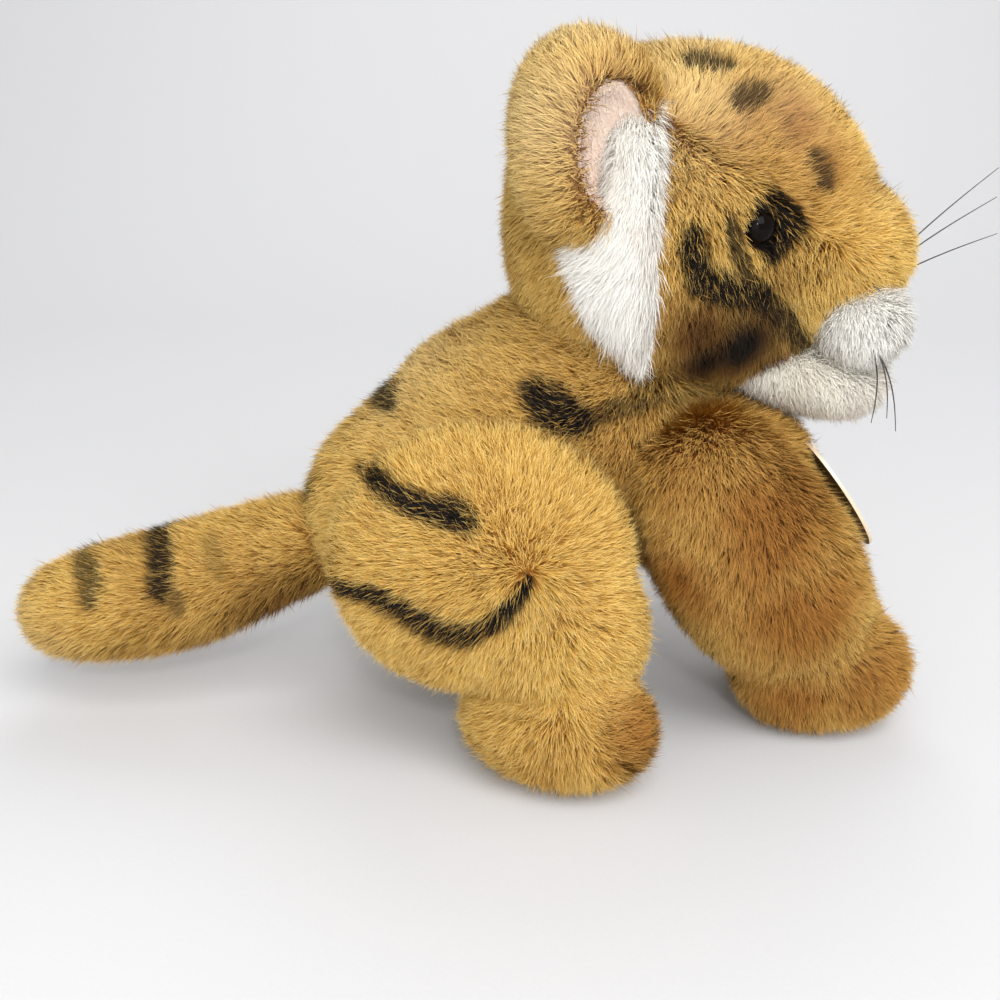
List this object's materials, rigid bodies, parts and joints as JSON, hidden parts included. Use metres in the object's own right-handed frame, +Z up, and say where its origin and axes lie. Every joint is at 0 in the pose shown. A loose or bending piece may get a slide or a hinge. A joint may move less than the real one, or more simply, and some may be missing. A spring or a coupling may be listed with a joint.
{
  "type": "plush tiger",
  "caption": "Plush tiger on all fours with a long tail: stuffed head, ears, legs and tail in striped golden pile, white muzzle and cheek ruffs, hang tag.",
  "frame": {"origin": "on the surface it stands on, under the middle of its length and width", "axes": "+X towards the nose, +Y to the toy's left side, +Z up"},
  "size_m": [0.3576, 0.1656, 0.2376],
  "materials": {
    "golden_plush": "long soft pile with dark stripes",
    "white_plush": "long soft white pile",
    "pink_lining": "short velour",
    "filling": "loose fibre",
    "nose_cloth": "short pile",
    "eye_black": "polished",
    "washer_white": "moulded",
    "whisker_black": "nylon filament",
    "tag_card": "coated card, bare",
    "pin_plastic": "clear-white moulded"
  },
  "bodies": {
    "torso": {"torso_skin": "golden_plush", "belly_panel": "white_plush", "torso_stuffing": "filling", "tag_pin": "pin_plastic"},
    "head": {"head_skin": "golden_plush", "muzzle_skin": "white_plush", "chin_skin": "white_plush", "head_stuffing": "filling", "nose": "nose_cloth", "right_cheek_ruff": "white_plush", "right_eye": "eye_black", "right_eye_washer": "washer_white", "right_whiskers": "whisker_black", "left_cheek_ruff": "white_plush", "left_eye": "eye_black", "left_eye_washer": "washer_white", "left_whiskers": "whisker_black"},
    "right_ear": {"right_ear_back": "golden_plush", "right_ear_lining": "pink_lining"},
    "left_ear": {"left_ear_back": "golden_plush", "left_ear_lining": "pink_lining"},
    "right_front_leg": {"right_front_leg_skin": "golden_plush", "right_front_leg_stuffing": "filling"},
    "right_hind_leg": {"right_hind_leg_skin": "golden_plush", "right_hind_leg_stuffing": "filling"},
    "left_front_leg": {"left_front_leg_skin": "golden_plush", "left_front_leg_stuffing": "filling"},
    "left_hind_leg": {"left_hind_leg_skin": "golden_plush", "left_hind_leg_stuffing": "filling"},
    "tail": {"tail_skin": "golden_plush", "tail_stuffing": "filling"},
    "tag": {"hang_tag": "tag_card"}
  },
  "joints": [
    {"name": "head_turn", "type": "hinge", "parent": "torso", "child": "head", "pos_m": [0.03915, 0, 0.137], "axis": [0.454, 0, 0.891], "range_deg": [-15, 15], "stiffness_Nm_per_rad": 0.8},
    {"name": "right_ear_fold", "type": "hinge", "parent": "head", "child": "right_ear", "pos_m": [0.02958, -0.026, 0.1771], "axis": [0, 0, 1], "range_deg": [-10, 10], "stiffness_Nm_per_rad": 0.02},
    {"name": "left_ear_fold", "type": "hinge", "parent": "head", "child": "left_ear", "pos_m": [0.02958, 0.026, 0.1771], "axis": [0, 0, 1], "range_deg": [-10, 10], "stiffness_Nm_per_rad": 0.02},
    {"name": "right_front_leg_swing", "type": "hinge", "parent": "torso", "child": "right_front_leg", "pos_m": [0.06415, -0.031, 0.096], "axis": [0, 1, 0], "range_deg": [-8, 8], "stiffness_Nm_per_rad": 3},
    {"name": "right_hind_leg_swing", "type": "hinge", "parent": "torso", "child": "right_hind_leg", "pos_m": [-0.00985, -0.051, 0.075], "axis": [0, 1, 0], "range_deg": [-8, 8], "stiffness_Nm_per_rad": 3},
    {"name": "left_front_leg_swing", "type": "hinge", "parent": "torso", "child": "left_front_leg", "pos_m": [0.06415, 0.031, 0.096], "axis": [0, 1, 0], "range_deg": [-8, 8], "stiffness_Nm_per_rad": 3},
    {"name": "left_hind_leg_swing", "type": "hinge", "parent": "torso", "child": "left_hind_leg", "pos_m": [-0.00985, 0.051, 0.075], "axis": [0, 1, 0], "range_deg": [-8, 8], "stiffness_Nm_per_rad": 3},
    {"name": "tail_swing", "type": "hinge", "parent": "torso", "child": "tail", "pos_m": [-0.05985, 0, 0.063], "axis": [0, 0, 1], "range_deg": [-15, 15], "stiffness_Nm_per_rad": 0.15},
    {"name": "tag_swing", "type": "hinge", "parent": "torso", "child": "tag", "pos_m": [0.10439, -0.008, 0.10061], "axis": [0.832, 0, 0.5548], "range_deg": [-25, 25]}
  ]
}
